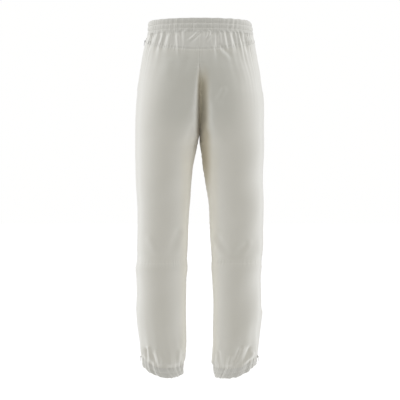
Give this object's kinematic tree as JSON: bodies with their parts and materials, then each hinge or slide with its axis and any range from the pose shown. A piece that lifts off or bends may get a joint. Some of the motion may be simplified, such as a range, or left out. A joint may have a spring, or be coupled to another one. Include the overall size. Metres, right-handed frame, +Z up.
{
  "type": "ski pants",
  "caption": "Light ski pants with a gathered elastic waistband, back yoke, side pocket zips, a seam below the knee and elastic ankle cuffs with zips.",
  "frame": {"origin": "the middle of the whole width and depth, at the height of the cuffs' lower edge", "axes": "+Z up to the waistband, +Y to the seat, -Y to the front, +X to the wearer's left leg"},
  "size_m": [0.374, 0.2408, 1.05],
  "materials": {
    "shell_fabric": "matte plain weave with a faint sheen",
    "lining_fabric": "matte",
    "elastic": "matte, covered in knitted yarn",
    "zip_tape": "matte",
    "zip_coil": "satin",
    "zip_metal": "satin, painted grey"
  },
  "bodies": {
    "pelvis": {"waistband_back": "shell_fabric", "waistband_front": "shell_fabric", "waist_elastic": "elastic", "left_drawcord_eyelet": "zip_metal", "right_drawcord_eyelet": "zip_metal", "back_yoke": "shell_fabric", "left_seat_panel": "shell_fabric", "left_hip_front_panel": "shell_fabric", "left_pocket_bag": "lining_fabric", "left_pocket_zip_tape_back": "zip_tape", "left_pocket_zip_tape_front": "zip_tape", "left_pocket_zip_chain": "zip_coil", "right_seat_panel": "shell_fabric", "right_hip_front_panel": "shell_fabric", "right_pocket_bag": "lining_fabric", "right_pocket_zip_tape_back": "zip_tape", "right_pocket_zip_tape_front": "zip_tape", "right_pocket_zip_chain": "zip_coil"},
    "left_thigh": {"left_thigh_back_panel": "shell_fabric", "left_thigh_front_panel": "shell_fabric", "left_knee_back_panel": "shell_fabric", "left_knee_front_panel": "shell_fabric"},
    "right_thigh": {"right_thigh_back_panel": "shell_fabric", "right_thigh_front_panel": "shell_fabric", "right_knee_back_panel": "shell_fabric", "right_knee_front_panel": "shell_fabric"},
    "left_shank": {"left_calf_back_panel": "shell_fabric", "left_calf_front_panel": "shell_fabric", "left_cuff_casing": "shell_fabric", "left_cuff_elastic": "elastic", "left_ankle_zip_tape_back": "zip_tape", "left_ankle_zip_tape_front": "zip_tape", "left_ankle_zip_chain": "zip_coil", "left_ankle_wind_flap": "lining_fabric"},
    "right_shank": {"right_calf_back_panel": "shell_fabric", "right_calf_front_panel": "shell_fabric", "right_cuff_casing": "shell_fabric", "right_cuff_elastic": "elastic", "right_ankle_zip_tape_back": "zip_tape", "right_ankle_zip_tape_front": "zip_tape", "right_ankle_zip_chain": "zip_coil", "right_ankle_wind_flap": "lining_fabric"},
    "left_pocket_zip_slider": {"left_pocket_zip_slider": "zip_metal"},
    "left_pocket_zip_pull": {"left_pocket_zip_pull": "zip_metal"},
    "left_ankle_zip_slider": {"left_ankle_zip_slider": "zip_metal"},
    "left_ankle_zip_pull": {"left_ankle_zip_pull": "zip_metal"},
    "right_pocket_zip_slider": {"right_pocket_zip_slider": "zip_metal"},
    "right_pocket_zip_pull": {"right_pocket_zip_pull": "zip_metal"},
    "right_ankle_zip_slider": {"right_ankle_zip_slider": "zip_metal"},
    "right_ankle_zip_pull": {"right_ankle_zip_pull": "zip_metal"}
  },
  "joints": [
    {"name": "left_hip_bend", "type": "hinge", "parent": "pelvis", "child": "left_thigh", "pos_m": [0.095, -0.012, 0.885], "axis": [-1, 0, 0], "range_deg": [-20, 100], "deforming": ["left_seat_panel", "left_hip_front_panel"]},
    {"name": "left_knee_bend", "type": "hinge", "parent": "left_thigh", "child": "left_shank", "pos_m": [0.11, -0.012, 0.45], "axis": [1, 0, 0], "range_deg": [0, 100], "deforming": ["left_knee_back_panel", "left_knee_front_panel"]},
    {"name": "right_hip_bend", "type": "hinge", "parent": "pelvis", "child": "right_thigh", "pos_m": [-0.095, -0.012, 0.885], "axis": [-1, 0, 0], "range_deg": [-20, 100], "deforming": ["right_seat_panel", "right_hip_front_panel"]},
    {"name": "right_knee_bend", "type": "hinge", "parent": "right_thigh", "child": "right_shank", "pos_m": [-0.11, -0.012, 0.45], "axis": [1, 0, 0], "range_deg": [0, 100], "deforming": ["right_knee_back_panel", "right_knee_front_panel"]},
    {"name": "left_pocket_zip_slide", "type": "slide", "parent": "pelvis", "child": "left_pocket_zip_slider", "axis": [0.1686, 0, -0.9857], "range_m": [0, 0.13]},
    {"name": "left_pocket_pull_swing", "type": "hinge", "parent": "left_pocket_zip_slider", "child": "left_pocket_zip_pull", "pos_m": [0.16175, -0.011, 0.99277], "axis": [0, -1, 0], "range_deg": [0, 150]},
    {"name": "left_ankle_zip_slide", "type": "slide", "parent": "left_shank", "child": "left_ankle_zip_slider", "axis": [0.1095, 0, 0.994], "range_m": [0, 0.125]},
    {"name": "left_ankle_pull_swing", "type": "hinge", "parent": "left_ankle_zip_slider", "child": "left_ankle_zip_pull", "pos_m": [0.17399, -0.011, 0.06032], "axis": [0, -1, 0], "range_deg": [-5.9, 150]},
    {"name": "right_pocket_zip_slide", "type": "slide", "parent": "pelvis", "child": "right_pocket_zip_slider", "axis": [-0.1686, 0, -0.9857], "range_m": [0, 0.13]},
    {"name": "right_pocket_pull_swing", "type": "hinge", "parent": "right_pocket_zip_slider", "child": "right_pocket_zip_pull", "pos_m": [-0.16175, -0.011, 0.99277], "axis": [0, 1, 0], "range_deg": [0, 150]},
    {"name": "right_ankle_zip_slide", "type": "slide", "parent": "right_shank", "child": "right_ankle_zip_slider", "axis": [-0.1095, 0, 0.994], "range_m": [0, 0.125]},
    {"name": "right_ankle_pull_swing", "type": "hinge", "parent": "right_ankle_zip_slider", "child": "right_ankle_zip_pull", "pos_m": [-0.17399, -0.011, 0.06032], "axis": [0, 1, 0], "range_deg": [-5.9, 150]}
  ]
}
